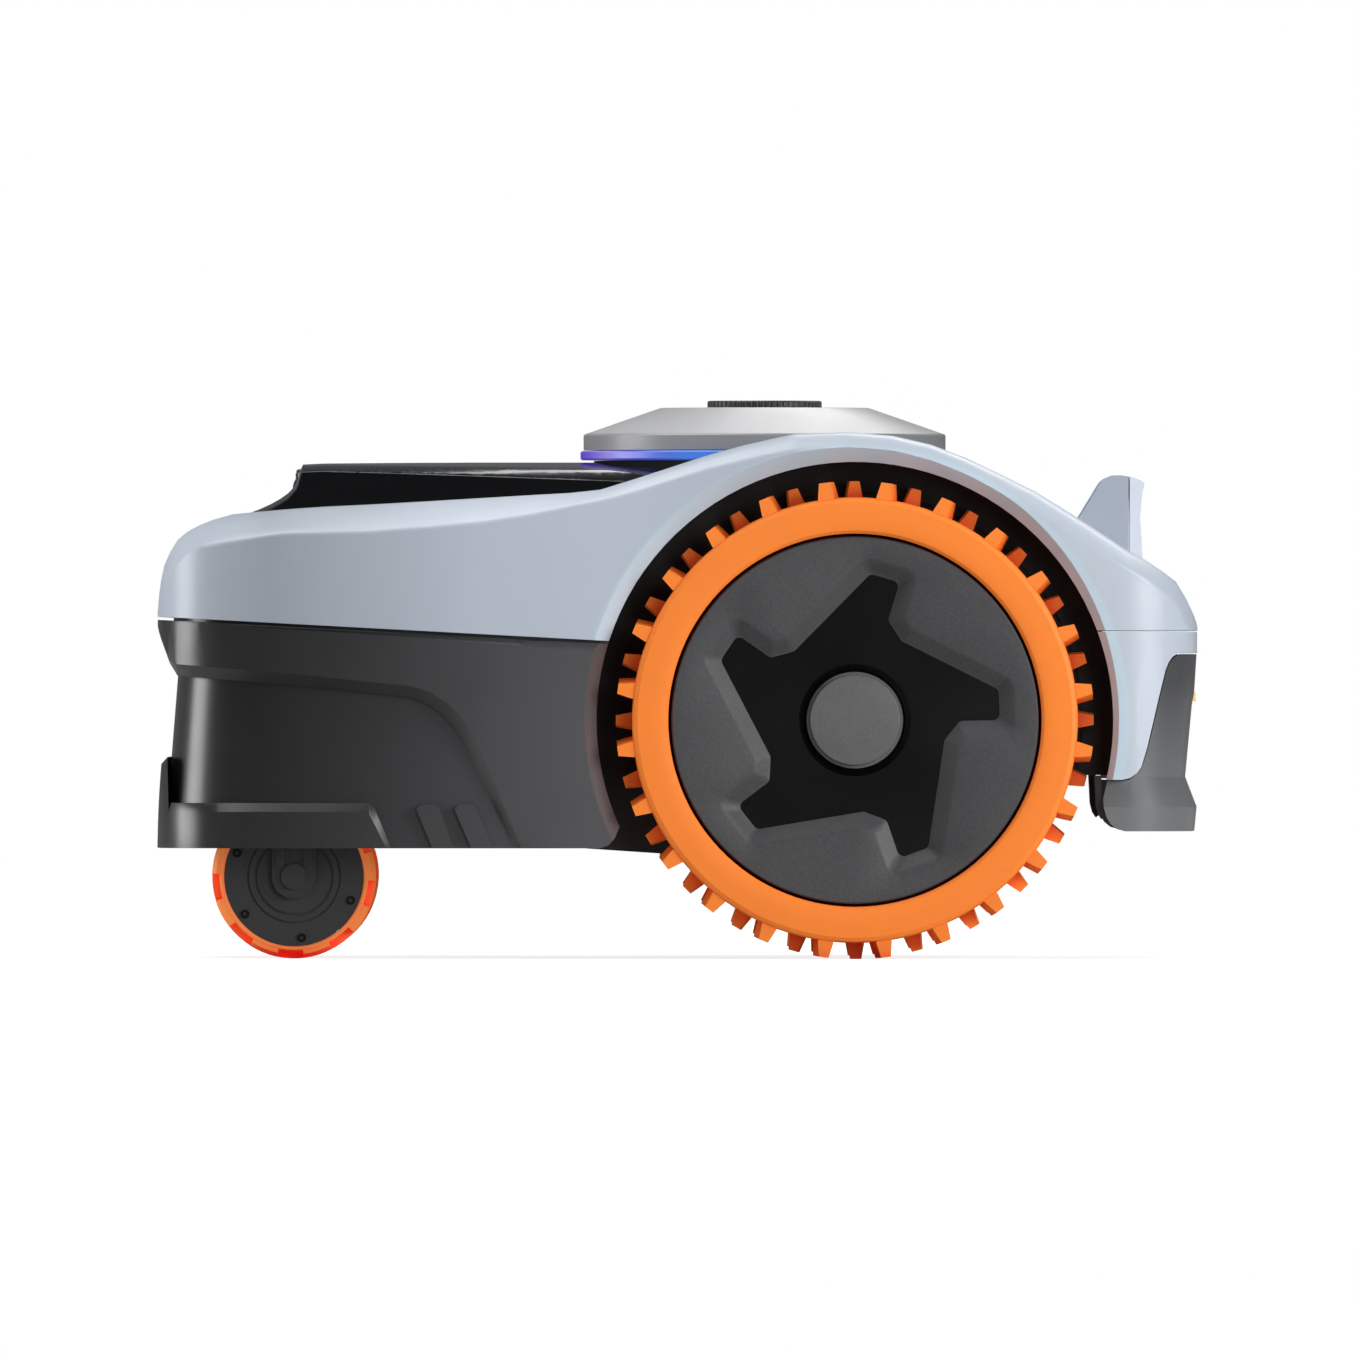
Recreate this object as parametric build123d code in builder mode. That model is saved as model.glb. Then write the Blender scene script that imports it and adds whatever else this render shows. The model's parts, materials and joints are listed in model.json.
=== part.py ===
"""Robotic lawn mower: separate bodies, millimetres, +X forward, +Y left, +Z up, ground at Z = 0."""

import os
from math import atan2, cos, hypot, pi, radians, sin

from build123d import *

# ---------------------------------------------------------------- driving dimensions
LENGTH_HALF = 271.7  # overall 543.4 long
HEIGHT = 290.7
TRACK_OUT = 192.5  # outer face of a drive wheel
SEAM_GAP = 1.6  # shadow gap between the shell and the bumper

WHEEL_X, WHEEL_Z = -92.0, 124.0
WHEEL_R = 124.0  # over the lugs
CARCASS_R = 115.6
HUB_R = 95.2
TYRE_IN_R = 96.8
WHEEL_W = 62.0
ARCH_R, ARCH_BEVEL_R = 134.0, 142.0

CASTER_X, CASTER_Z, CASTER_R = 199.4, 42.6, 42.6
SWIVEL_X, SWIVEL_Y = 209.6, 117.0
CASTER_HALF = 12.5

CUT_X = -45.5  # cutter and turret axis
WELL_R = 102.0
WALL = 3.0

os.makedirs("parts", exist_ok=True)


# ---------------------------------------------------------------- outline helpers
def lerp(table, x):
    """Piecewise linear value of a table sorted by rising x."""
    if x <= table[0][0]:
        return table[0][1]
    for (x0, v0), (x1, v1) in zip(table, table[1:]):
        if x <= x1:
            return v0 + (v1 - v0) * (x - x0) / (x1 - x0)
    return table[-1][1]


FRONT_CY = 117.0
REAR_CX, REAR_CY, REAR_A, REAR_B = -222.0, 138.0, 47.0, 46.5
CORNER = [(269.4, 117.0), (267.6, 161.0), (242.0, 173.9), (196.0, 179.0)]


def plan_half(inset=0.0):
    """Left half of the plan outline, nose to tail, moved inwards by inset."""
    pts = []
    for y in (0, 20, 40, 60, 80, 100):
        pts.append((LENGTH_HALF - 2.3 * (y / FRONT_CY) ** 2, y))
    for i in range(13):
        t = i / 12
        k = ((1 - t) ** 3, 3 * t * (1 - t) ** 2, 3 * t * t * (1 - t), t**3)
        pts.append((sum(c * p[0] for c, p in zip(k, CORNER)), sum(c * p[1] for c, p in zip(k, CORNER))))
    pts += [
        (170, 181.6), (140, 183.8), (100, 185.9), (60, 187.3), (20, 188.1), (-20, 188.5), (-60, 188.6), (-120, 188.5),
        (-180, 186.6),
    ]
    for a in range(90, 181, 10):
        t = radians(a)
        pts.append((REAR_CX + REAR_A * cos(t), REAR_CY + REAR_B * sin(t)))
    for y in (118, 98, 78, 58, 38, 18, 0):
        pts.append((-LENGTH_HALF + 2.7 * (y / REAR_CY) ** 2, y))
    if inset:
        moved = []
        for i, (x, y) in enumerate(pts):
            x0, y0 = pts[max(i - 1, 0)]
            x1, y1 = pts[min(i + 1, len(pts) - 1)]
            if i == 0:
                x0, y0 = x1, -y1
            if i == len(pts) - 1:
                x1, y1 = x0, -y0
            tx, ty = x1 - x0, y1 - y0
            n = hypot(tx, ty)
            moved.append((x + inset * -ty / n * 1.0, y + inset * tx / n))
        moved[0] = (moved[0][0], 0.0)
        moved[-1] = (moved[-1][0], 0.0)
        pts = moved
    return pts


def seam_z(x):
    """Height of the shell's lower edge above the bumper."""
    return 165.1 + (x - 35.6) * (177.8 - 165.1) / (271.2 - 35.6)


def half_width(x):
    """Half width of the body at a station x."""
    pts = plan_half()
    best = 0.0
    for (x0, y0), (x1, y1) in zip(pts, pts[1:]):
        lo, hi = min(x0, x1), max(x0, x1)
        if lo <= x <= hi and hi > lo:
            best = max(best, y0 + (y1 - y0) * (x - x0) / (x1 - x0))
    return best


def plan_wire(inset):
    """Closed plan outline as a list of points."""
    left = plan_half(inset)
    right = [(x, -y) for x, y in left[-2:0:-1]]
    return left + right


# side outline of the light shell, tail to nose
TOP = [
    (-271.7, 171.9), (-268.0, 179.8), (-263.9, 188.0), (-258.2, 197.3), (-250.9, 202.0), (-243.1, 207.2),
    (-233.7, 211.9), (-219.7, 221.3), (-209.3, 229.1), (-201.5, 232.7), (-185.9, 242.6), (-170.3, 250.4),
    (-154.7, 257.7), (-140.7, 264.4), (-124.5, 269.1), (-108.4, 272.3), (-87.6, 273.6), (-58.5, 272.3),
    (-32.0, 266.1), (-14.3, 261.0), (8.1, 253.7), (29.9, 246.7), (43.9, 242.6), (61.1, 241.8), (92.3, 240.0),
    (144.3, 236.9), (196.3, 234.3), (224.9, 231.7), (235.3, 230.6), (243.1, 227.5), (250.9, 224.4),
    (258.7, 219.7), (262.8, 213.5), (266.5, 206.7), (268.6, 198.0), (270.1, 189.0), (271.7, 177.1),
]
# height of the shoulder crease where the side face turns into the top
CREASE = [
    (-271.7, 160.0), (-258.0, 186.0), (-243.0, 198.0), (-219.7, 211.0), (-185.9, 233.0), (-140.7, 255.0),
    (-108.0, 264.5), (-87.6, 265.8), (-58.5, 264.5), (-14.3, 254.0), (29.9, 240.0), (52.0, 236.0),
    (84.0, 229.0), (110.0, 226.0), (155.0, 222.0), (207.0, 221.0), (251.0, 214.0), (262.8, 203.0),
    (268.6, 190.0), (271.7, 172.0),
]
# how far the shoulder bevel reaches inwards
BEVEL = [
    (-271.7, 12.0), (-219.7, 12.0), (-140.7, 10.0), (-60.0, 10.0), (29.9, 9.0), (60.0, 12.0), (110.0, 20.0),
    (251.0, 24.0), (271.7, 16.0),
]
# height of the sunken middle of the hood
VALLEY = [
    (-271.7, 171.0), (-263.9, 184.0), (-255.0, 192.0), (-243.0, 198.0), (-225.0, 206.0), (-205.0, 216.0),
    (-185.0, 228.0), (-165.0, 238.0), (-140.0, 243.0), (-100.0, 244.0), (20.0, 244.0), (40.0, 243.0),
    (61.1, 241.8), (271.7, 300.0),
]


def rounded(corners, steps=5):
    """Points along a polyline whose inner corners are rounded; corners are (y, z, radius)."""
    out = [corners[0][:2]]
    for (ax, ay, _), (bx, by, r), (cx, cy, _) in zip(corners, corners[1:], corners[2:]):
        ux, uy, vx, vy = ax - bx, ay - by, cx - bx, cy - by
        lu, lv = hypot(ux, uy), hypot(vx, vy)
        ux, uy, vx, vy = ux / lu, uy / lu, vx / lv, vy / lv
        cut = min(r, lu * 0.46, lv * 0.46)
        for i in range(steps + 1):
            t = i / steps
            p0, p2 = (bx + ux * cut, by + uy * cut), (bx + vx * cut, by + vy * cut)
            out.append(
                (
                    (1 - t) ** 2 * p0[0] + 2 * t * (1 - t) * bx + t * t * p2[0],
                    (1 - t) ** 2 * p0[1] + 2 * t * (1 - t) * by + t * t * p2[1],
                )
            )
    out.append(corners[-1][:2])
    return out


def hood_section(x, inset, z_low):
    """Half section of the hood at station x from the side face to the middle, as (y, z)."""
    w = half_width(x) - inset
    zt = lerp(TOP, x) - inset
    zc = max(min(lerp(CREASE, x) - inset, zt - 4), z_low + 6)
    zv = min(lerp(VALLEY, x) - inset, zt)
    b = min(lerp(BEVEL, x), w * 0.3)
    y1 = min(0.74 * w, 126.0)
    y2 = min(0.62 * w, 106.0)
    return rounded(
        [
            (w, zc - 5, 0),
            (w, zc, 7),
            (w - b, zt - 0.4, 12),
            (y1, zt, 16),
            (y2, zv, 16),
            (0, zv + 0.2, 0),
        ]
    )


STATIONS = [
    271.55, 271.2, 270.7, 270.0, 268.9, 267.0, 264.0, 260.0, 255.0, 249.0, 241.0, 231.0, 219.0, 205.0, 185.0,
    160.0, 130.0, 100.0, 75.0, 56.0, 40.0, 22.0, 4.0, -14.0, -35.0, -60.0, -88.0, -112.0, -132.0, -150.0,
    -168.0, -186.0, -203.0, -219.0, -232.0, -243.0, -252.0, -259.0, -264.0, -267.0, -269.0, -270.3, -271.2,
]


def hood_solid(inset, z_low):
    """Closed hood volume as a loft of sections."""
    xs = STATIONS
    if inset:
        xs = [LENGTH_HALF - inset - 0.4] + [x for x in STATIONS[5:-4:2] if abs(x) < 266] + [-LENGTH_HALF + inset + 0.4]
    with BuildPart() as block:
        for x in xs:
            half = hood_section(x, inset, z_low)
            full = half + [(-y, z) for y, z in half[-2::-1]]
            with BuildSketch(Plane.YZ.offset(x)):
                with BuildLine():
                    Spline(*full)
                    Line(full[-1], (full[-1][0], z_low))
                    Line((full[-1][0], z_low), (full[0][0], z_low))
                    Line((full[0][0], z_low), full[0])
                make_face()
        loft(ruled=True)
    return block.part


def band_solid(levels, grow=0.0):
    """Closed volume between plan outlines at rising heights; levels are (z, inset)."""
    with BuildPart() as block:
        for z, inset in levels:
            with BuildSketch(Plane.XY.offset(z)):
                with BuildLine():
                    Polyline(*plan_wire(inset + grow), close=True)
                make_face()
        loft(ruled=True)
    return block.part


def side_prism(points, y0=-250.0, y1=250.0):
    """Prism along Y whose side outline is given as (x, z)."""
    with BuildPart() as block:
        with BuildSketch(Plane.XZ.offset(-y1)):
            with BuildLine():
                Polyline(*points, close=True)
            make_face()
        extrude(amount=y1 - y0)
    return block.part


def wheel_arches(radius, bevel):
    """Cylinders that open both wheel arches, with the bevelled rim."""
    with BuildPart() as block:
        for side in (1, -1):
            with BuildSketch(Plane.XZ.offset(-side * 121.0)):
                with Locations((WHEEL_X, WHEEL_Z)):
                    Circle(radius)
            extrude(amount=-side * 90.0)
            if bevel:
                with BuildSketch(Plane.XZ.offset(-side * 180.4)):
                    with Locations((WHEEL_X, WHEEL_Z)):
                        Circle(radius)
                with BuildSketch(Plane.XZ.offset(-side * 190.0)):
                    with Locations((WHEEL_X, WHEEL_Z)):
                        Circle(radius + 9.4)
                loft()
    return block.part


ARCHES = wheel_arches(ARCH_R, True)


def disc(x, y, z0, z1, r, hole=0.0):
    """Upright cylinder or tube."""
    with BuildPart() as block:
        with BuildSketch(Plane.XY.offset(z0)):
            with Locations((x, y)):
                Circle(r)
                if hole:
                    Circle(hole, mode=Mode.SUBTRACT)
        extrude(amount=z1 - z0)
    return block.part


def brick(x0, x1, y0, y1, z0, z1):
    """Axis-aligned block between limits."""
    with BuildPart() as block:
        with Locations(((x0 + x1) / 2, (y0 + y1) / 2, (z0 + z1) / 2)):
            Box(x1 - x0, y1 - y0, z1 - z0)
    return block.part


def across(x, z, y0, y1, r, hole=0.0):
    """Cylinder or tube along Y."""
    with BuildPart() as block:
        with BuildSketch(Plane.XZ.offset(-y1)):
            with Locations((x, z)):
                Circle(r)
                if hole:
                    Circle(hole, mode=Mode.SUBTRACT)
        extrude(amount=y1 - y0)
    return block.part


def turned(points, x=0.0, y=0.0):
    """Solid turned about an upright axis from (radius, z) points."""
    with BuildPart() as block:
        with BuildSketch(Plane.XZ):
            with BuildLine():
                Polyline(*points, close=True)
            make_face()
        revolve(axis=Axis.Z)
    return block.part.moved(Location((x, y, 0)))


def both(piece):
    """A piece and its mirror image across the middle plane."""
    with BuildPart() as block:
        add(piece)
        mirror(piece, about=Plane.XZ)
    return block.part


PIECES = {}
SIDES = (("left", 1), ("right", -1))

# ---------------------------------------------------------------- console deck and camera
DECK_ROWS = [
    # x, half width, edge height, crown height
    (224.9, 46.0, 229.0, 231.4), (218.5, 56.0, 231.0, 233.9), (212.3, 61.0, 233.6, 236.7), (207.2, 64.0, 236.4, 239.6),
    (203.2, 66.0, 239.0, 242.5), (200.6, 67.2, 241.8, 245.3), (198.7, 68.0, 244.6, 248.3), (197.5, 68.6, 248.0, 251.8),
    (196.7, 69.0, 251.0, 254.8), (195.5, 69.4, 253.2, 257.4), (185.0, 71.0, 253.6, 257.9), (150.0, 76.0, 252.6, 258.2),
    (110.0, 82.0, 251.2, 258.4), (75.0, 87.0, 249.9, 258.4), (45.5, 91.0, 248.8, 258.4), (10.0, 94.0, 247.6, 258.4),
]
DECK_LOW = 226.0


def deck_solid(grow, top=0.0):
    """Console deck volume; grow widens it for its opening in the hood."""
    with BuildPart() as block:
        for x, w, edge, crown in DECK_ROWS:
            w += grow
            half = rounded([(w, edge - 1.5 + top, 0), (w, edge + top, 3), (w - 12, (edge + crown) / 2 + 1.2 + top, 10), (26, crown + top, 20), (0, crown + top, 0)], 3)
            full = half + [(-y, z) for y, z in half[-2::-1]]
            xx = x + (grow if x > 224 else 0.0)
            with BuildSketch(Plane.YZ.offset(xx)):
                with BuildLine():
                    Spline(*full)
                    Line(full[-1], (full[-1][0], DECK_LOW - grow * 5))
                    Line((full[-1][0], DECK_LOW - grow * 5), (full[0][0], DECK_LOW - grow * 5))
                    Line((full[0][0], DECK_LOW - grow * 5), full[0])
                make_face()
        loft(ruled=True)
    return block.part


CAM_Z = 244.6
NECK_CUT = disc(CUT_X, 0, 200, 300, 90.2)
with BuildPart() as console_deck:
    add(deck_solid(0.0))
    add(NECK_CUT, mode=Mode.SUBTRACT)
    with BuildSketch(Plane.YZ.offset(192.0)):
        with Locations((0, CAM_Z)):
            Circle(10.6)
    extrude(amount=40, mode=Mode.SUBTRACT)
    with BuildSketch(Plane.YZ.offset(179.0)):
        with Locations((0, CAM_Z)):
            Circle(8.3)
    extrude(amount=20, mode=Mode.SUBTRACT)
PIECES["console_deck"] = console_deck.part

with BuildPart() as camera_bezel:
    with BuildSketch(Plane.YZ.offset(192.2)):
        with Locations((0, CAM_Z)):
            Circle(10.4)
            Circle(8.3, mode=Mode.SUBTRACT)
    extrude(amount=7.0)
    chamfer(camera_bezel.edges().group_by(Axis.X)[-1], 0.8)
PIECES["camera_bezel"] = camera_bezel.part

with BuildPart() as camera_barrel:
    with BuildSketch(Plane.YZ.offset(179.4)):
        with Locations((0, CAM_Z)):
            Circle(8.1)
    extrude(amount=20.2)
    with BuildSketch(Plane.YZ.offset(197.6)):
        with Locations((0, CAM_Z)):
            Circle(6.3)
    extrude(amount=4, mode=Mode.SUBTRACT)
PIECES["camera_barrel"] = camera_barrel.part

with BuildPart() as camera_lens:
    with BuildSketch(Plane.XY):
        with BuildLine():
            Polyline((197.8, 0), (197.8, 6.1), (199.0, 6.1), (199.9, 4.9), (200.6, 3.4), (201.05, 1.7), (201.2, 0), close=True)
        make_face()
    revolve(axis=Axis.X)
PIECES["camera_lens"] = camera_lens.part.moved(Location((0, 0, CAM_Z)))

# ---------------------------------------------------------------- top shell
HOOD_OUT = hood_solid(0.0, 150.0)
HOOD_IN = hood_solid(WALL, 140.0)
SHELL_KEEP = side_prism(
    [(280, seam_z(280)), (20, seam_z(20)), (-100, 160), (-217.6, 170.5), (-280, 170.5), (-280, 320), (280, 320)]
)
# thick rim that carries the bevel round each arch
ARCH_RIM = both(across(WHEEL_X, WHEEL_Z, 177.5, 200.0, 147.0, 130.0))
with BuildPart() as top_shell:
    add(HOOD_OUT)
    add(HOOD_IN, mode=Mode.SUBTRACT)
    add(HOOD_OUT.intersect(ARCH_RIM))
    add(SHELL_KEEP, mode=Mode.INTERSECT)
    add(ARCHES, mode=Mode.SUBTRACT)
    add(deck_solid(0.5, 30.0), mode=Mode.SUBTRACT)
    add(disc(CUT_X, 0, 200, 300, 86.5), mode=Mode.SUBTRACT)
PIECES["top_shell"] = top_shell.part

# ---------------------------------------------------------------- rear quarter shell and rear panel
QUARTER_SIDE = [
    (-200, 93.0), (-230.4, 93.0), (-234.6, 93.9), (-238.2, 96.4), (-240.7, 99.9), (-243.8, 110.5), (-249.9, 136.5),
    (-253.2, 149.8), (-254.8, 153.9), (-257.0, 157.0), (-260.2, 158.9), (-280, 158.9), (-280, 169.9), (-200, 169.9),
]
with BuildPart() as rear_quarter_shell:
    add(band_solid([(85, 0.5), (180, 0.3)]))
    add(band_solid([(80, 3.6), (190, 3.6)]), mode=Mode.SUBTRACT)
    add(band_solid([(85, 0.5), (180, 0.3)]).intersect(ARCH_RIM))
    add(side_prism(QUARTER_SIDE), mode=Mode.INTERSECT)
    add(ARCHES, mode=Mode.SUBTRACT)
PIECES["rear_quarter_shell"] = rear_quarter_shell.part

PANEL_LEVELS = [(66.3, 1.8), (78.8, 0.6), (94.4, 6.6), (131.8, 3.1), (138.1, 1.9), (158.9, 0.6), (165.0, 0.4)]
PANEL_SIDE = [
    (-280, 158.3), (-260.5, 158.3), (-257.5, 156.4), (-255.4, 153.7), (-253.8, 149.9), (-250.5, 136.5),
    (-244.4, 110.6), (-241.3, 100.2), (-238.7, 96.7), (-234.9, 93.3), (-230.4, 92.4), (-222.9, 92.4),
    (-220.7, 82.9), (-221.2, 78.0), (-222.5, 73.8), (-224.6, 70.2), (-227.8, 67.5), (-232.2, 66.3), (-280, 66.3),
]
with BuildPart() as rear_panel:
    add(band_solid(PANEL_LEVELS))
    add(band_solid([(60, 5.2), (78.8, 4.2), (94.4, 9.8), (131.8, 6.4), (138.1, 5.2), (158.9, 4.0), (170, 4.0)]), mode=Mode.SUBTRACT)
    add(side_prism(PANEL_SIDE), mode=Mode.INTERSECT)
    add(both(brick(-275, -266.9, 16.9, 43.1, 133.5, 138.5)), mode=Mode.SUBTRACT)
PIECES["rear_panel"] = rear_panel.part

with BuildPart() as charge_contacts:
    add(both(brick(-270.3, -267.0, 17.0, 43.0, 133.6, 138.4)))
PIECES["charge_contacts"] = charge_contacts.part

# ---------------------------------------------------------------- front bumper skirt
SKIRT_LEVELS = [
    (57.5, 3.7), (105.3, 7.5), (147.9, 10.9), (155.2, 7.8), (173.4, 1.0), (182.0, 0.6),
]
# upper and lower line of the sloped crease, and upper and lower line of the lip's ledge, as (x, z)
CREASE_HIGH = [
    (79.9, 50.0), (80.0, 55.5), (101.2, 106.0), (105.5, 115.5), (111.5, 125.0), (118.5, 132.2), (128.4, 138.6),
    (138.6, 141.7), (193.2, 147.4), (259.7, 153.0), (263.9, 155.4), (270.9, 173.4),
]
CREASE_LOW = [
    (88.1, 50.0), (88.2, 55.5), (107.0, 103.5), (111.2, 112.9), (116.5, 121.4), (122.6, 127.6), (131.0, 133.2),
    (139.8, 136.1), (193.2, 141.6), (259.7, 147.0), (262.5, 150.0), (270.9, 172.4),
]
LIP_TOP = [
    (147.4, 55.5), (157.5, 79.0), (160.0, 81.0), (264.4, 81.0), (265.0, 104.8), (268.4, 101.2), (270.3, 78.0),
    (271.4, 58.6),
]
LIP_LOW = [
    (150.0, 55.5), (159.6, 74.9), (161.5, 76.4), (264.4, 76.4), (265.0, 100.6), (268.4, 96.8), (270.2, 76.0),
    (271.4, 57.8),
]


def proud_solid():
    """Raised part of the bumper above and behind the crease, with a sloped edge."""
    xs = [
        0, 30, 60, 79.9, 82, 85, 88.2, 94, 101.2, 105.5, 108.5, 111.5, 115, 118.5, 123, 128.4, 133.5, 138.6, 150, 170,
        193.2, 208, 222, 234, 244, 252, 259.7, 263.9, 266.5, 268.4, 269.6, 270.4, 270.9,
    ]
    with BuildPart() as block:
        for i in range(0, len(xs) - 1, 5):
            for x in xs[i : i + 6]:
                w = half_width(x) - 0.8
                low, high = lerp(CREASE_LOW, x), lerp(CREASE_HIGH, x)
                top = seam_z(x) - SEAM_GAP
                strip = 3.4 * (270.9 - x) / 236 + 0.25
                half = [(w - min(6.5, w * 0.1), low), (w, high), (w, top - strip), (w - 2.2, top)]
                with BuildSketch(Plane.YZ.offset(x)):
                    with BuildLine():
                        Polyline(*half, *[(-y, z) for y, z in half[::-1]], close=True)
                    make_face()
            loft(ruled=True)
    return block.part


def lip_solid():
    """Thicker bottom lip of the bumper with a sloped ledge."""
    with BuildPart() as block:
        for x in (
            148.6, 151, 154, 157.5, 160, 162, 180, 200, 215, 228, 238, 245, 250, 256, 260, 264.4, 265, 266.5, 268.4,
            269.4, 270.3, 270.8, 271.3,
        ):
            w = half_width(x) - 0.3
            top, low = lerp(LIP_TOP, x), lerp(LIP_LOW, x)
            half = [(w, 52.0), (w, low), (w - 2.6, max(top, low + 0.2))]
            with BuildSketch(Plane.YZ.offset(x)):
                with BuildLine():
                    Polyline(*half, *[(-y, z) for y, z in half[::-1]], close=True)
                make_face()
        loft(ruled=True)
    return block.part


RIB_SIDES = [
    [(135.5, 78.0), (133.0, 80.3), (126.0, 80.3), (123.5, 78.0), (116.2, 57.5), (127.1, 57.5)],
    [(115.7, 78.0), (113.3, 80.3), (106.6, 80.3), (104.3, 78.0), (95.9, 57.5), (106.9, 57.5)],
]
SKIRT_KEEP = [
    (280, seam_z(280) - SEAM_GAP), (26, seam_z(26) - SEAM_GAP), (26, 68.5), (30.2, 68.2), (32.6, 62.6), (35.8, 59.1),
    (40.3, 57.5), (280, 57.5),
]
with BuildPart() as front_skirt:
    add(band_solid(SKIRT_LEVELS))
    add(proud_solid())
    add(lip_solid())
    for rib in RIB_SIDES:
        add(band_solid([(54.0, 0.5), (90.0, 0.9)]).intersect(side_prism(rib)))
    add(band_solid([(40.0, 7.8), (57.5, 7.8), (81.0, 9.0), (96.0, 10.0), (100.0, 14.0), (200.0, 14.0)]), mode=Mode.SUBTRACT)
    add(
        band_solid([(40.0, 4.0), (57.5, 4.0), (70.0, 9.0)]).intersect(brick(245, 300, -150, 150, 30, 69.5)),
        mode=Mode.SUBTRACT,
    )
    add(side_prism(SKIRT_KEEP), mode=Mode.INTERSECT)
    # upstand behind the shell that closes the view through the seam
    with BuildPart(mode=Mode.PRIVATE) as upstand:
        add(band_solid([(150.0, 8.6), (200.0, 8.6)]))
        add(band_solid([(149.0, 11.8), (201.0, 11.8)]), mode=Mode.SUBTRACT)
        add(
            side_prism([(280, 155), (54, 155), (54, seam_z(54) + 5), (280, seam_z(280) + 5)]),
            mode=Mode.INTERSECT,
        )
    add(upstand.part)
    # the same beside the wheel arch, further in so that it clears the arch rim
    with BuildPart(mode=Mode.PRIVATE) as arch_upstand:
        add(band_solid([(150.0, 12.0), (200.0, 12.0)]))
        add(band_solid([(149.0, 13.9), (201.0, 13.9)]), mode=Mode.SUBTRACT)
        add(
            side_prism([(58, 155), (26, 155), (26, seam_z(26) + 5), (58, seam_z(58) + 5)]),
            mode=Mode.INTERSECT,
        )
    add(arch_upstand.part)
    add(ARCHES, mode=Mode.SUBTRACT)
PIECES["front_skirt"] = front_skirt.part

# ---------------------------------------------------------------- chassis tub
TUB_SIDE = [
    (246, 72), (236, 62), (190, 58), (60, 58), (4.9, 54.3), (-150, 54.3), (-157, 58), (-190, 98), (-244, 98),
    (-244, 150), (246, 150),
]
TUB_IN_SIDE = [
    (243, 75), (235, 65), (190, 61), (60, 61), (4.9, 57.3), (-149, 57.3), (-155, 60), (-188, 101), (-241, 101),
    (-241, 160), (243, 160),
]
with BuildPart() as tub_cavity:
    add(side_prism(TUB_IN_SIDE, -109, 109))
    add(band_solid([(103, 21.0), (160, 21.0)]).intersect(brick(61, 300, -200, 200, 90, 170)))
    add(band_solid([(101, 13.0), (160, 13.0)]).intersect(brick(-300, -235, -200, 200, 90, 170)))
    add(both(disc(SWIVEL_X, SWIVEL_Y, 0, 100, 59.5)), mode=Mode.SUBTRACT)
    add(both(disc(SWIVEL_X, SWIVEL_Y, 0, 140, 12.0)), mode=Mode.SUBTRACT)
    add(disc(CUT_X, 0, 0, 107, WELL_R + 3), mode=Mode.SUBTRACT)
    for x0 in (60, 160):
        for y0 in (-58, 40):
            add(brick(x0, x0 + 18, y0, y0 + 18, 50, 67), mode=Mode.SUBTRACT)
with BuildPart() as chassis_tub:
    add(side_prism(TUB_SIDE, -112, 112))
    add(band_solid([(100, 18.0), (150, 18.0)]).intersect(brick(58, 300, -200, 200, 90, 150)))
    add(band_solid([(98, 10.0), (150, 10.0)]).intersect(brick(-300, -232, -200, 200, 90, 150)))
    add(both(disc(SWIVEL_X, SWIVEL_Y, 97, 136, 12.0)))
    add(tub_cavity.part, mode=Mode.SUBTRACT)
    add(both(disc(SWIVEL_X, SWIVEL_Y, 0, 97, 56.5)), mode=Mode.SUBTRACT)
    add(both(disc(SWIVEL_X, SWIVEL_Y, 90, 140, 8.1)), mode=Mode.SUBTRACT)
    add(disc(CUT_X, 0, 0, 104, WELL_R), mode=Mode.SUBTRACT)
    add(disc(CUT_X, 0, 100, 110, 25.2), mode=Mode.SUBTRACT)
    add(brick(66, 172, -52, 52, 50, 60.5), mode=Mode.SUBTRACT)
    add(both(across(WHEEL_X, WHEEL_Z, 100, 120, 9.0)), mode=Mode.SUBTRACT)
    with Locations(*[(x, y, 0) for x in (72, 166) for y in (-46, 46)]):
        Cylinder(1.6, 140, mode=Mode.SUBTRACT)
PIECES["chassis_tub"] = chassis_tub.part

with BuildPart() as belly_cover:
    with Locations((119, 0, 59.15)):
        Box(105.2, 103.2, 2.3)
    fillet(belly_cover.edges().filter_by(Axis.Z), 3)
    with Locations(*[(x, y, 58.0) for x in (72, 166) for y in (-46, 46)]):
        Cylinder(1.8, 10, mode=Mode.SUBTRACT)
        Cylinder(3.4, 2.6, mode=Mode.SUBTRACT)
    with Locations(*[(x, 0, 58.0) for x in (96, 108, 120, 132, 144)]):
        Box(4, 60, 1.6, mode=Mode.SUBTRACT)
PIECES["belly_cover"] = belly_cover.part

with BuildPart() as belly_screws:
    with Locations(*[(x, y, 58.7) for x in (72, 166) for y in (-46, 46)]):
        Cylinder(3.1, 1.0)
    with Locations(*[(x, y, 62.6) for x in (72, 166) for y in (-46, 46)]):
        Cylinder(1.5, 7.0)
    with Locations(*[(x, y, 58.2) for x in (72, 166) for y in (-46, 46)]):
        Cylinder(1.3, 1.2, mode=Mode.SUBTRACT)
PIECES["belly_screws"] = belly_screws.part

# ---------------------------------------------------------------- inside the tub
with BuildPart() as battery_pack:
    with Locations((119, 0, 93.5)):
        Box(78, 108, 63)
    fillet(battery_pack.edges().filter_by(Axis.Z), 6)
    with Locations((119, 0, 125.5)):
        Box(30, 14, 3)
PIECES["battery_pack"] = battery_pack.part

with BuildPart() as main_board:
    with Locations((-205, 0, 112)):
        Box(54, 130, 2)
    with Locations((-205, -30, 115), (-195, 20, 114.5), (-215, 44, 114)):
        Box(18, 20, 4)
    with Locations((-186, 0, 116)):
        Box(8, 50, 8)
PIECES["main_board"] = main_board.part

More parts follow.
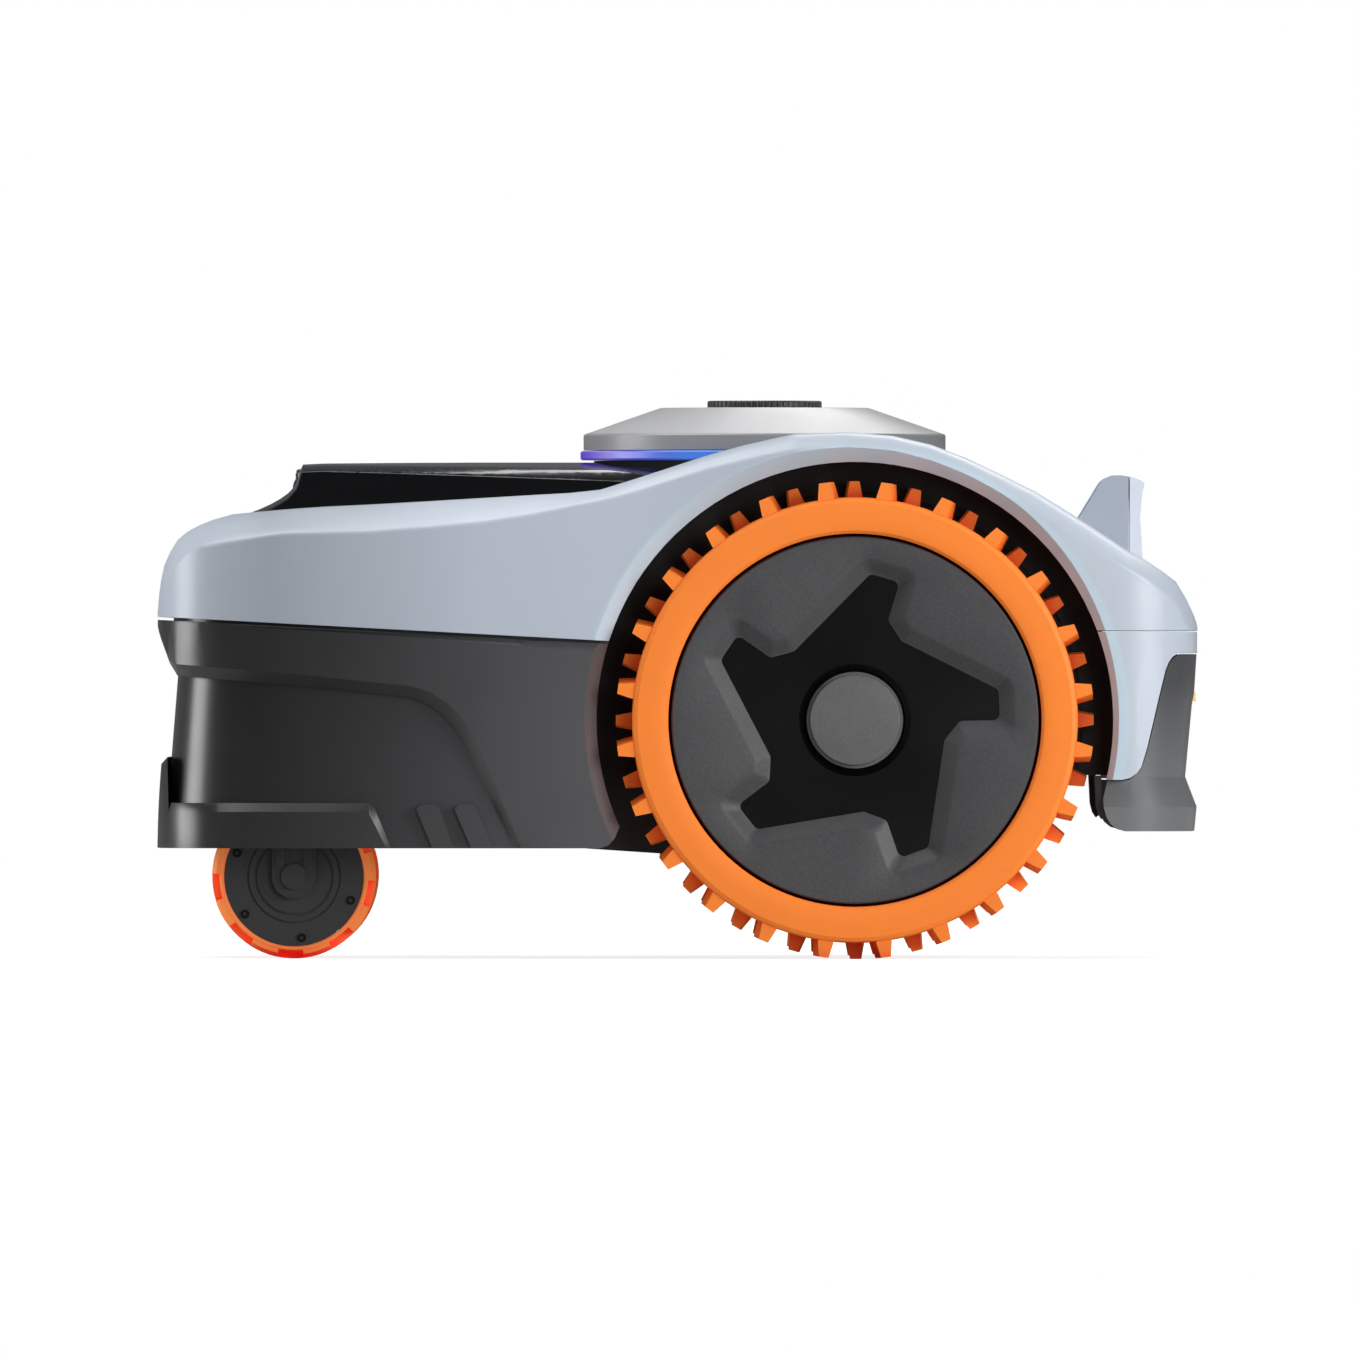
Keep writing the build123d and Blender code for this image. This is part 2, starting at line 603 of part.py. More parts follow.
for side, sign in SIDES:
    with BuildPart() as drive_motor:
        add(across(WHEEL_X, WHEEL_Z, 44, 100, 16.0))
        add(across(WHEEL_X, WHEEL_Z, 100, 108.6, 15.0, 7.2))
    with BuildPart() as drive_axle:
        add(across(WHEEL_X, WHEEL_Z, 101, 172, 6.5))
        add(across(WHEEL_X, WHEEL_Z, 143, 149.6, 22.0))
        add(across(WHEEL_X, WHEEL_Z, 170, 176, 9.0))
    with BuildPart() as liner:
        add(across(WHEEL_X, WHEEL_Z, 122, 171.4, 136.5, 134.5))
        add(across(WHEEL_X, WHEEL_Z, 122, 124, 136.5, 24.0))
        add(brick(-300, 100, 100, 200, -60, 95.4), mode=Mode.SUBTRACT)
        add(across(WHEEL_X, WHEEL_Z, 123, 127, 121.0, 118.6).cut(brick(-300, 100, 100, 200, -60, 97.5)))
        add(across(WHEEL_X, WHEEL_Z, 123, 127, 72.0, 69.6).cut(brick(-300, 100, 100, 200, -60, 97.5)))
    with BuildPart() as mud_guard:
        with BuildSketch(Plane.XZ.offset(-181.0)):
            with BuildLine():
                Polyline((-216.2, 95.2), (-219.9, 95.2), (-219.9, 83.0), (-220.4, 78.4), (-221.8, 74.0), (-220.0, 72.6), (-218.2, 75.4), (-217.0, 80.0), close=True)
            make_face()
        extrude(amount=46)
    for label, piece in (("drive_motor", drive_motor), ("drive_axle", drive_axle), ("wheel_liner", liner)):
        PIECES[f"{label}_{side}"] = piece.part if sign > 0 else mirror(piece.part, about=Plane.XZ)
PIECES["mud_guards"] = both(mud_guard.part)

# ---------------------------------------------------------------- turret
PIECES["turret_base"] = turned(
    [(7, 237), (85.8, 237), (85.8, 248.8), (87.4, 254.6), (89.4, 259.3), (64, 259.3), (64, 241), (7, 241)], CUT_X
)
PIECES["led_ring"] = turned([(72, 259.7), (95.4, 259.7), (96.2, 260.4), (96.2, 263.7), (95.4, 264.4), (72, 264.4)], CUT_X)
PIECES["turret_cover"] = turned(
    [
        (7, 287), (54.0, 287), (55.2, 286.7), (94.0, 273.2), (94.6, 272.4), (94.6, 264.8), (91.6, 264.8), (91.6, 270.6),
        (54.0, 283.8), (7, 283.8),
    ],
    CUT_X,
)
PIECES["antenna"] = turned([(14, 241.3), (44, 241.3), (44, 250), (40, 252), (14, 252)], CUT_X)

with BuildPart() as height_knob:
    add(disc(CUT_X, 0, 287.3, HEIGHT, 29.9))
    chamfer(height_knob.edges().group_by(Axis.Z)[-1], 0.7)
    with Locations((CUT_X, 0, 289)):
        with PolarLocations(30.5, 60):
            Cylinder(1.05, 10, mode=Mode.SUBTRACT)
    with Locations((CUT_X, 0, HEIGHT)):
        Cylinder(22, 1.2, mode=Mode.SUBTRACT)
    with Locations((CUT_X, 0, HEIGHT - 0.9)):
        Box(40, 6.0, 1.7)
PIECES["height_knob"] = height_knob.part
with BuildPart() as lift_screw:
    add(disc(CUT_X, 0, 157, 287.2, 5.0))
    for i in range(24):
        add(disc(CUT_X, 0, 159 + i * 2.2, 160.1 + i * 2.2, 6.0, 4.55), mode=Mode.SUBTRACT)
PIECES["lift_screw"] = lift_screw.part

# ---------------------------------------------------------------- carry handle
HANDLE_SIDE = [
    (-208.8, 228.5), (-219.8, 246.7), (-221.0, 248.4), (-222.8, 250.0), (-225.8, 251.3), (-230.5, 251.5),
    (-235.0, 250.9), (-235.0, 180), (-206.0, 180), (-204.5, 222.0),
]
GRIP_SIDE = [
    (-235.6, 250.8), (-238.3, 250.0), (-241.8, 248.6), (-243.2, 247.4), (-243.2, 246.0), (-242.2, 242.6),
    (-241.0, 229.6), (-242.4, 207.6), (-243.0, 180), (-235.6, 180),
]
FINGER_GAP = [(-58, 150), (58, 150), (58, 226), (54, 234), (47, 238.2), (38, 239.6), (-38, 239.6), (-47, 238.2), (-54, 234), (-58, 226)]
with BuildPart() as finger_gap:
    with BuildSketch(Plane.YZ.offset(-260)):
        with BuildLine():
            Polyline(*FINGER_GAP, close=True)
        make_face()
    extrude(amount=70)
HOOD_TRIM = HOOD_OUT.moved(Location((0, 0, 0.35)))
with BuildPart() as carry_handle:
    add(side_prism(HANDLE_SIDE, -78, 78))
    add(finger_gap.part, mode=Mode.SUBTRACT)
    add(HOOD_TRIM, mode=Mode.SUBTRACT)
PIECES["carry_handle"] = carry_handle.part
with BuildPart() as handle_grip:
    add(side_prism(GRIP_SIDE, -78, 78))
    add(finger_gap.part, mode=Mode.SUBTRACT)
    add(HOOD_TRIM, mode=Mode.SUBTRACT)
PIECES["handle_grip"] = handle_grip.part

# ---------------------------------------------------------------- cutting unit
ROD_Y = 38.0
with BuildPart() as cutter_carriage:
    add(disc(CUT_X, 0, 150, 154, 47))
    add(disc(CUT_X, 0, 153, 205, 9.0, 5.08))
    add(disc(CUT_X, 0, 140, 154, 5.08), mode=Mode.SUBTRACT)
    add(disc(CUT_X, 0, 72, 150, 24.0, 21.2))
    with Locations((CUT_X, ROD_Y, 152.75), (CUT_X, -ROD_Y, 152.75)):
        Cylinder(8, 10.5)
        Cylinder(4.08, 60, mode=Mode.SUBTRACT)
PIECES["cutter_carriage"] = cutter_carriage.part
with BuildPart() as cutter_motor:
    add(disc(CUT_X, 0, 76, 146, 21.0))
    chamfer(cutter_motor.edges(), 1.5)
PIECES["cutter_motor"] = cutter_motor.part
with BuildPart() as guide_rods:
    add(disc(CUT_X, ROD_Y, 107.1, 236.8, 4.0))
    add(disc(CUT_X, -ROD_Y, 107.1, 236.8, 4.0))
PIECES["guide_rods"] = guide_rods.part

BLADE_R = 54.0
with BuildPart() as cutter_disc:
    add(disc(CUT_X, 0, 60, 62.4, 62.0))
    add(disc(CUT_X, 0, 62, 72, 14.0))
    add(disc(CUT_X, 0, 72, 75.6, 4.0))
    add(disc(CUT_X, 0, 57.4, 60, 9.0))
    with Locations((CUT_X, 0, 61)):
        with PolarLocations(BLADE_R, 3):
            Cylinder(2.05, 10, mode=Mode.SUBTRACT)
        with PolarLocations(34.0, 6, 30):
            Cylinder(8.0, 10, mode=Mode.SUBTRACT)
PIECES["cutter_disc"] = cutter_disc.part
with BuildPart() as blade_screws:
    with Locations((CUT_X, 0, 0)):
        with PolarLocations(BLADE_R, 3):
            with Locations((0, 0, 57.4)):
                Cylinder(4.6, 2.2)
            with Locations((0, 0, 60.8)):
                Cylinder(2.0, 5.6)
PIECES["blade_screws"] = blade_screws.part
for i in range(3):
    with BuildPart() as blade:
        with BuildSketch(Plane.XY.offset(58.9)):
            with BuildLine():
                Polyline((-7, -6), (-5, -8.5), (26, -8.5), (34, -2), (34, 2), (26, 8.5), (-5, 8.5), (-7, 6), close=True)
            make_face()
            Circle(2.07, mode=Mode.SUBTRACT)
        extrude(amount=0.8)
    turn = 120.0 * i
    PIECES[f"blade_{i + 1}"] = blade.part.moved(
        Location((CUT_X + BLADE_R * cos(radians(turn)), BLADE_R * sin(radians(turn)), 0), (0, 0, turn))
    )

# ---------------------------------------------------------------- drive wheels, about their own axis with z outwards
LUGS = 24


def lug(y0, y1, a0, a1):
    """One tread lug between two planes, its middle turned from a0 to a1 degrees."""
    with BuildPart() as block:
        for y, a in ((y0, a0), (y1, a1)):
            ring = []
            for r, half in ((114.6, 2.02), (116.5, 1.95), (124.03, 1.15), (124.03, -1.15), (116.5, -1.95), (114.6, -2.02)):
                t = radians(a + half)
                ring.append((r * cos(t), r * sin(t)))
            with BuildSketch(Plane.XY.offset(y)):
                with BuildLine():
                    Polyline(*ring, close=True)
                make_face()
        loft(ruled=True)
    return block.part


with BuildPart() as tyre:
    with BuildSketch(Plane.XZ):
        with BuildLine():
            Polyline(
                (TYRE_IN_R, 132.5), (112.6, 132.5), (114.8, 133.6), (CARCASS_R, 136.0), (CARCASS_R, 188.6), (114.8, 191.2),
                (112.8, 192.3), (101.0, 192.5), (98.4, 191.8), (TYRE_IN_R, 190.0), close=True,
            )
        make_face()
    revolve(axis=Axis.Z)
    with PolarLocations(0, LUGS):
        add(lug(162.5, 190.4, 180 + 6.1, 180 + 7.5))
        add(lug(134.4, 161.5, 180 + 0.5, 180 + 0.0))
with BuildPart() as rim:
    with BuildSketch(Plane.XZ):
        with BuildLine():
            Polyline(
                (12, 150), (40, 150), (88, 156), (92.5, 150), (92.5, 134), (96.7, 134), (96.7, 178), (93.5, 180.8),
                (90, 180.8), (88, 162), (40, 156), (12, 156), close=True,
            )
        make_face()
    revolve(axis=Axis.Z)
    with PolarLocations(15.5, 5):
        Cylinder(2.1, 400, mode=Mode.SUBTRACT)
    with PolarLocations(63, 10):
        Cylinder(10, 400, mode=Mode.SUBTRACT)

ARM = [(76.2, 12.0), (75.2, 0.0), (54.4, -0.4), (47.6, -12.6)]
STAR = []
for k in range(5):
    for r, a in ARM:
        t = radians(180 + a - 72 * k)
        STAR.append((r * cos(t), r * sin(t)))


def grown(points, amount):
    """Polygon moved outwards by a mitred amount; points run clockwise."""
    out = []
    n = len(points)
    for i in range(n):
        (ax, ay), (bx, by), (cx, cy) = points[i - 1], points[i], points[(i + 1) % n]
        ux, uy, vx, vy = bx - ax, by - ay, cx - bx, cy - by
        lu, lv = hypot(ux, uy), hypot(vx, vy)
        n1, n2 = (-uy / lu, ux / lu), (-vy / lv, vx / lv)
        mx, my = n1[0] + n2[0], n1[1] + n2[1]
        k = amount * 2 / (mx * mx + my * my)
        out.append((bx + mx * k, by + my * k))
    return out


def star_prism(rows):
    """Pinwheel volume through rows of (z, growth, corner radius)."""
    with BuildPart() as block:
        for z, amount, radius in rows:
            with BuildSketch(Plane.XY.offset(z)) as row:
                with BuildLine():
                    Polyline(*grown(STAR, amount), close=True)
                make_face()
                fillet(row.vertices(), radius)
        loft(ruled=True)
    return block.part


with BuildPart() as hub_cover:
    add(disc(0, 0, 181.5, 190.6, HUB_R))
    chamfer(hub_cover.edges().group_by(Axis.Z)[-1], 0.8)
    add(star_prism([(184.6, 0.0, 3.6), (184.95, 0.9, 3.6), (190.0, 7.2, 6.0), (191.0, 9.4, 6.0)]), mode=Mode.SUBTRACT)
    add(star_prism([(180.0, 0.0, 3.6), (184.6, 0.0, 3.6)]), mode=Mode.SUBTRACT)
with BuildPart() as star_inlay:
    add(star_prism([(182.0, -0.15, 3.6), (184.5, -0.15, 3.6)]))
    with BuildSketch(Plane.XY.offset(181.5)):
        Circle(25.4)
    with BuildSketch(Plane.XY.offset(184.6)):
        Circle(29.2)
    loft(mode=Mode.SUBTRACT)
with BuildPart() as centre_cap:
    add(disc(0, 0, 182.2, 187.0, 23.4))
    fillet(centre_cap.edges().group_by(Axis.Z)[-1], 0.8)
    add(disc(0, 0, 181.6, 182.2, 25.0))
with BuildPart() as wheel_bolts:
    with PolarLocations(15.5, 5):
        with Locations((0, 0, 158.3)):
            Cylinder(4.0, 4.2)
        with Locations((0, 0, 153.3)):
            Cylinder(2.0, 6.6)

TO_LEFT = Location((WHEEL_X, 0, WHEEL_Z), (-90, 0, 0))
for label, piece in (("tyre", tyre), ("rim", rim), ("hub_cover", hub_cover), ("star_inlay", star_inlay), ("centre_cap", centre_cap), ("wheel_bolts", wheel_bolts)):
    moved = piece.part.moved(TO_LEFT)
    PIECES[f"drive_{label}_left"] = moved
    PIECES[f"drive_{label}_right"] = mirror(moved, about=Plane.XZ)

# ---------------------------------------------------------------- casters, built on the left
with BuildPart() as caster_fork:
    add(disc(SWIVEL_X, SWIVEL_Y, 87.6, 134, 5.0))
    with BuildSketch(Plane.XY.offset(87.6)):
        with Locations((CASTER_X, SWIVEL_Y)):
            RectangleRounded(22.6, 35.0, 4)
        with Locations((SWIVEL_X, SWIVEL_Y)):
            Circle(14)
    extrude(amount=4.6)
    for y0 in (SWIVEL_Y - 17.5, SWIVEL_Y + 13.5):
        with BuildSketch(Plane.XZ.offset(-(y0 + 4))):
            with Locations((CASTER_X, 67)):
                Rectangle(22.6, 48)
            with Locations((CASTER_X, CASTER_Z)):
                Circle(11.3)
        extrude(amount=4.0)
    for y1 in (SWIVEL_Y + 18.7, SWIVEL_Y - 17.0):
        with BuildSketch(Plane.XZ.offset(-y1)):
            with Locations((CASTER_X - 7.2, 70), (CASTER_X + 7.2, 70)):
                Rectangle(4.7, 44)
        extrude(amount=1.7)
    add(across(CASTER_X, CASTER_Z, SWIVEL_Y - 30, SWIVEL_Y + 30, 3.05), mode=Mode.SUBTRACT)
with BuildPart() as caster_bearing:
    add(disc(SWIVEL_X, SWIVEL_Y, 100, 133, 8.0, 5.06))
with BuildPart() as caster_axle:
    add(across(CASTER_X, CASTER_Z, SWIVEL_Y - 19.4, SWIVEL_Y + 19.0, 3.0))
    add(across(CASTER_X, CASTER_Z, SWIVEL_Y + 17.6, SWIVEL_Y + 20.2, 6.6))
    add(across(CASTER_X, CASTER_Z, SWIVEL_Y - 20.2, SWIVEL_Y - 17.6, 6.6))
with BuildPart() as caster_core:
    add(across(CASTER_X, CASTER_Z, SWIVEL_Y - 11.6, SWIVEL_Y + 11.6, 36.2, 3.06))
    for y0, y1 in ((SWIVEL_Y + 10.4, SWIVEL_Y + 12), (SWIVEL_Y - 12, SWIVEL_Y - 10.4)):
        add(across(CASTER_X, CASTER_Z, y0, y1, 24.4, 23.4), mode=Mode.SUBTRACT)
        add(across(CASTER_X, CASTER_Z, y0, y1, 20.5, 19.2), mode=Mode.SUBTRACT)
    add(across(CASTER_X, CASTER_Z, SWIVEL_Y + 11.5, SWIVEL_Y + 13.0, 7.5, 3.06))
    add(across(CASTER_X, CASTER_Z, SWIVEL_Y - 13.0, SWIVEL_Y - 11.5, 7.5, 3.06))
with BuildPart() as caster_tyre:
    with BuildSketch(Plane.XZ):
        with BuildLine():
            Polyline(
                (36.3, -11.8), (36.9, -12.5), (37.9, -12.5), (38.6, -11.8), (38.6, 11.8), (37.9, 12.5), (36.9, 12.5),
                (36.3, 11.8), close=True,
            )
        make_face()
    revolve(axis=Axis.Z)
    for z0, z1, z2, turn in ((0.3, 9.6, 12.2, 17.5), (-0.3, -9.6, -12.2, 37.5)):
        with PolarLocations(0, 9, turn):
            with BuildPart(mode=Mode.PRIVATE) as block:
                for z, r in ((z0, CASTER_R), (z1, CASTER_R), (z2, 40.4)):
                    with BuildSketch(Plane.XY.offset(z)):
                        with BuildLine():
                            Polyline(
                                *[(37.9 * cos(radians(a)), 37.9 * sin(radians(a))) for a in (-0.5, 5, 10, 15, 20.5)],
                                *[(r * cos(radians(a)), r * sin(radians(a))) for a in (20.3, 15, 10, 5, -0.3)],
                                close=True,
                            )
                        make_face()
                loft(ruled=True)
            add(block.part)
with BuildPart() as caster_screws:
    for k in range(6):
        t = radians(202.6 - 60 * k)
        add(across(CASTER_X + 32.0 * cos(t), CASTER_Z + 32.0 * sin(t), SWIVEL_Y + 11.7, SWIVEL_Y + 12.5, 2.3, 1.1))
        add(across(CASTER_X + 32.0 * cos(t), CASTER_Z + 32.0 * sin(t), SWIVEL_Y - 12.5, SWIVEL_Y - 11.7, 2.3, 1.1))
PIECES["caster_bearings"] = both(caster_bearing.part)
tyre_there = caster_tyre.part.moved(Location((CASTER_X, SWIVEL_Y, CASTER_Z), (-90, 0, 0)))
for label, piece in (
    ("fork", caster_fork.part), ("axle", caster_axle.part), ("core", caster_core.part),
    ("tyre", tyre_there), ("screws", caster_screws.part),
):
    PIECES[f"caster_{label}_left"] = piece
    PIECES[f"caster_{label}_right"] = mirror(piece, about=Plane.XZ)

# ---------------------------------------------------------------- one file per piece
for label, piece in PIECES.items():
    piece.label = label
    export_step(piece, f"parts/{label}.step")
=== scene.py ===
"""Robotic lawn mower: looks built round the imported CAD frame. Metres, +X forward, +Y left, +Z up."""

import json
import math

import bmesh
import bpy
from mathutils import Matrix, Vector

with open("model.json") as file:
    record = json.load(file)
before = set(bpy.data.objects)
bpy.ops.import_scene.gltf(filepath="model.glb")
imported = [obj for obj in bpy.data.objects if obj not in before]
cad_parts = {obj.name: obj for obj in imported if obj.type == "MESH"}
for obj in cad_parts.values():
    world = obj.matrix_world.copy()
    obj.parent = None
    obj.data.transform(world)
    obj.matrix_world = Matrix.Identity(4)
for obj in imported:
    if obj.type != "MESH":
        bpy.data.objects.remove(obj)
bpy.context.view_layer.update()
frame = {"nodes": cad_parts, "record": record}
nodes = frame["nodes"]
scene = bpy.context.scene


# ---------------------------------------------------------------- colour and material helpers
def lin(r, g, b):
    """sRGB 0-255 to scene-linear."""
    out = []
    for v in (r, g, b):
        v /= 255.0
        out.append(v / 12.92 if v <= 0.04045 else ((v + 0.055) / 1.055) ** 2.4)
    return (*out, 1.0)


def scaled(c, k):
    return (c[0] * k, c[1] * k, c[2] * k, 1.0)


def new_material(name):
    m = bpy.data.materials.new(name)
    m.use_nodes = True
    nt = m.node_tree
    nt.nodes.clear()
    out = nt.nodes.new("ShaderNodeOutputMaterial")
    bsdf = nt.nodes.new("ShaderNodeBsdfPrincipled")
    nt.links.new(bsdf.outputs["BSDF"], out.inputs["Surface"])
    return m, nt, bsdf


def coords(nt, scale=(1, 1, 1)):
    tex = nt.nodes.new("ShaderNodeTexCoord")
    mp = nt.nodes.new("ShaderNodeMapping")
    mp.inputs["Scale"].default_value = scale
    nt.links.new(tex.outputs["Object"], mp.inputs["Vector"])
    return mp.outputs["Vector"]


def noise(nt, vec, scale, detail=3.0, rough=0.55):
    n = nt.nodes.new("ShaderNodeTexNoise")
    n.inputs["Scale"].default_value = scale
    n.inputs["Detail"].default_value = detail
    n.inputs["Roughness"].default_value = rough
    nt.links.new(vec, n.inputs["Vector"])
    return n.outputs["Fac"]


def ramp(nt, fac, stops):
    r = nt.nodes.new("ShaderNodeValToRGB")
    r.color_ramp.elements[0].position = stops[0][0]
    r.color_ramp.elements[0].color = stops[0][1]
    r.color_ramp.elements[1].position = stops[-1][0]
    r.color_ramp.elements[1].color = stops[-1][1]
    for p, c in stops[1:-1]:
        e = r.color_ramp.elements.new(p)
        e.color = c
    nt.links.new(fac, r.inputs["Fac"])
    return r.outputs["Color"]


def map_range(nt, fac, lo, hi, a=0.3, b=0.7):
    m = nt.nodes.new("ShaderNodeMapRange")
    m.inputs["From Min"].default_value = a
    m.inputs["From Max"].default_value = b
    m.inputs["To Min"].default_value = lo
    m.inputs["To Max"].default_value = hi
    nt.links.new(fac, m.inputs["Value"])
    return m.outputs["Result"]


def bump(nt, bsdf, height, strength, distance):
    b = nt.nodes.new("ShaderNodeBump")
    b.inputs["Strength"].default_value = strength
    b.inputs["Distance"].default_value = distance
    nt.links.new(height, b.inputs["Height"])
    nt.links.new(b.outputs["Normal"], bsdf.inputs["Normal"])


def plastic(name, colour, rough=(0.4, 0.5), tint=0.06, grain=900.0, grain_strength=0.10, depth=0.0002, coat=0.0, coat_rough=0.1, specular=0.5, cloud=18.0):
    """Moulded plastic: cloudy tint, fine grain in the colour and a matching relief."""
    m, nt, bsdf = new_material(name)
    v = coords(nt)
    big = noise(nt, v, cloud, 3.0, 0.6)
    fine = noise(nt, v, grain, 2.0, 0.6)
    mix = nt.nodes.new("ShaderNodeMath")
    mix.operation = "MULTIPLY_ADD"
    mix.inputs[1].default_value = 0.6
    nt.links.new(fine, mix.inputs[0])
    half = nt.nodes.new("ShaderNodeMath")
    half.operation = "MULTIPLY"
    half.inputs[1].default_value = 0.4
    nt.links.new(big, half.inputs[0])
    nt.links.new(half.outputs[0], mix.inputs[2])
    col = ramp(nt, mix.outputs[0], [(0.28, scaled(colour, 1 - tint)), (0.5, colour), (0.72, scaled(colour, 1 + tint))])
    nt.links.new(col, bsdf.inputs["Base Color"])
    nt.links.new(map_range(nt, big, rough[0], rough[1]), bsdf.inputs["Roughness"])
    bsdf.inputs["Coat Weight"].default_value = coat
    bsdf.inputs["Coat Roughness"].default_value = coat_rough
    bsdf.inputs["Specular IOR Level"].default_value = specular
    bump(nt, bsdf, fine, grain_strength, depth)
    return m


def paint_light_and_shade(mat, stops, lo=-0.272, hi=0.272, axis="X"):
    """Paints light and shade into a plastic's colour: multiplies it by a brightness ramp along one axis of the body.
    """
    nt = mat.node_tree
    bsdf = [n for n in nt.nodes if n.bl_idname == "ShaderNodeBsdfPrincipled"][0]
    base = bsdf.inputs["Base Color"].links[0].from_socket
    sep = nt.nodes.new("ShaderNodeSeparateXYZ")
    nt.links.new(coords(nt), sep.inputs["Vector"])
    tone = ramp(nt, map_range(nt, sep.outputs[axis], 0.0, 1.0, lo, hi), stops)
    mul = nt.nodes.new("ShaderNodeMix")
    mul.data_type = "RGBA"
    mul.blend_type = "MULTIPLY"
    mul.inputs["Factor"].default_value = 1.0
    nt.links.new(base, mul.inputs["A"])
    nt.links.new(tone, mul.inputs["B"])
    nt.links.new(mul.outputs["Result"], bsdf.inputs["Base Color"])
    return mat


def grey(v):
    return (v, v, v, 1.0)


def metal(name, colour, rough=(0.22, 0.38), scale=(60, 60, 900), tint=0.08):
    """Turned or brushed metal: fine lines stretched one way."""
    m, nt, bsdf = new_material(name)
    v = coords(nt, scale)
    lines = noise(nt, v, 6.0, 2.0, 0.5)
    col = ramp(nt, lines, [(0.3, scaled(colour, 1 - tint)), (0.7, scaled(colour, 1 + tint))])
    nt.links.new(col, bsdf.inputs["Base Color"])
    bsdf.inputs["Metallic"].default_value = 1.0
    nt.links.new(map_range(nt, lines, rough[0], rough[1]), bsdf.inputs["Roughness"])
    bump(nt, bsdf, lines, 0.05, 0.0001)
    return m


def rubber(name, colour, painted_shade, painted_glow=0.0):
    """Moulded rubber: soft cloudy tint, faint flow marks, painted shade in a deeper red in the tread's gaps and
    creases, and a painted glow.
    """
    m, nt, bsdf = new_material(name)
    v = coords(nt)
    big = noise(nt, v, 26.0, 3.0, 0.55)
    fine = noise(nt, v, 1400.0, 2.0, 0.6)
    col = ramp(nt, big, [(0.3, scaled(colour, 0.965)), (0.55, colour), (0.75, scaled(colour, 1.02))])
    # painted shade: ambient occlusion mixes the deeper red into gaps and creases
    ao = nt.nodes.new("ShaderNodeAmbientOcclusion")
    ao.inputs["Distance"].default_value = 0.012
    ao.samples = 6
    mixer = nt.nodes.new("ShaderNodeMix")
    mixer.data_type = "RGBA"
    nt.links.new(map_range(nt, ao.outputs["AO"], 0.0, 1.0, 0.25, 0.85), mixer.inputs["Factor"])
    mixer.inputs["A"].default_value = painted_shade
    nt.links.new(col, mixer.inputs["B"])
    nt.links.new(mixer.outputs["Result"], bsdf.inputs["Base Color"])
    # painted light: a little emission makes the rubber glow brighter than the lamps light it; a guess at looks
    nt.links.new(mixer.outputs["Result"], bsdf.inputs["Emission Color"])
    bsdf.inputs["Emission Strength"].default_value = painted_glow
    nt.links.new(map_range(nt, big, 0.52, 0.64), bsdf.inputs["Roughness"])
    bsdf.inputs["Specular IOR Level"].default_value = 0.35
    bump(nt, bsdf, fine, 0.08, 0.0001)
    return m


# ---------------------------------------------------------------- materials
M = {}
M["handle"] = plastic("handle", lin(166, 173, 186), (0.36, 0.44), 0.012, 1500.0, 0.03, 0.0001)
M["shell"] = plastic("shell", lin(200, 207, 219), (0.34, 0.42), 0.012, 1500.0, 0.03, 0.0001, coat=0.10, coat_rough=0.3)
M["skirt"] = plastic("skirt", lin(78, 78, 80), (0.30, 0.34), 0.04, 1100.0, 0.06, 0.0001, specular=0.8)
# painted shade and sheen: the skirt's sides are darkened towards the front and left lighter near the arches
paint_light_and_shade(M["skirt"], [(0.0, grey(1.0)), (0.19, grey(1.0)), (0.49, grey(0.50)), (0.645, grey(0.24)), (0.80, grey(0.11)), (1.0, grey(0.10))], 0.0, 0.272)
M["panel"] = plastic("panel", lin(84, 85, 86), (0.30, 0.34), 0.04, 1100.0, 0.06, 0.0001, specular=0.8)
# painted highlight: the rear panel is lightened towards the bottom and darkened towards the top
paint_light_and_shade(M["panel"], [(0.0, grey(1.6)), (0.16, grey(1.55)), (0.49, grey(1.28)), (0.93, grey(0.56)), (1.0, grey(0.5))], 0.060, 0.145, "Z")
M["tub"] = plastic("tub", lin(26, 26, 27), (0.5, 0.62), 0.08, 700.0, 0.12, 0.0002)
M["liner"] = plastic("liner", lin(12, 12, 13), (0.55, 0.68), 0.10, 600.0, 0.12, 0.0002)
M["deck"] = plastic("deck", lin(7, 7, 8), (0.12, 0.18), 0.05, 300.0, 0.004, 0.0001, coat=0.5, coat_rough=0.08, specular=0.2)
M["inlay"] = plastic("inlay", lin(4, 3, 5), (0.16, 0.22), 0.05, 300.0, 0.004, 0.0001, coat=0.35, coat_rough=0.12, specular=0.2)
M["neck"] = plastic("neck", lin(48, 48, 49), (0.35, 0.45), 0.06, 900.0, 0.08, 0.0001)
# painted light and shade: the shell is lightened and darkened in bands from front to rear
paint_light_and_shade(
    M["shell"],
    [(0.0, grey(0.96)), (0.3, grey(0.98)), (0.42, grey(0.95)), (0.57, grey(1.08)), (0.69, grey(1.06)), (0.79, grey(0.90)),
     (0.89, grey(0.75)), (0.96, grey(0.95)), (1.0, grey(1.05))],
)
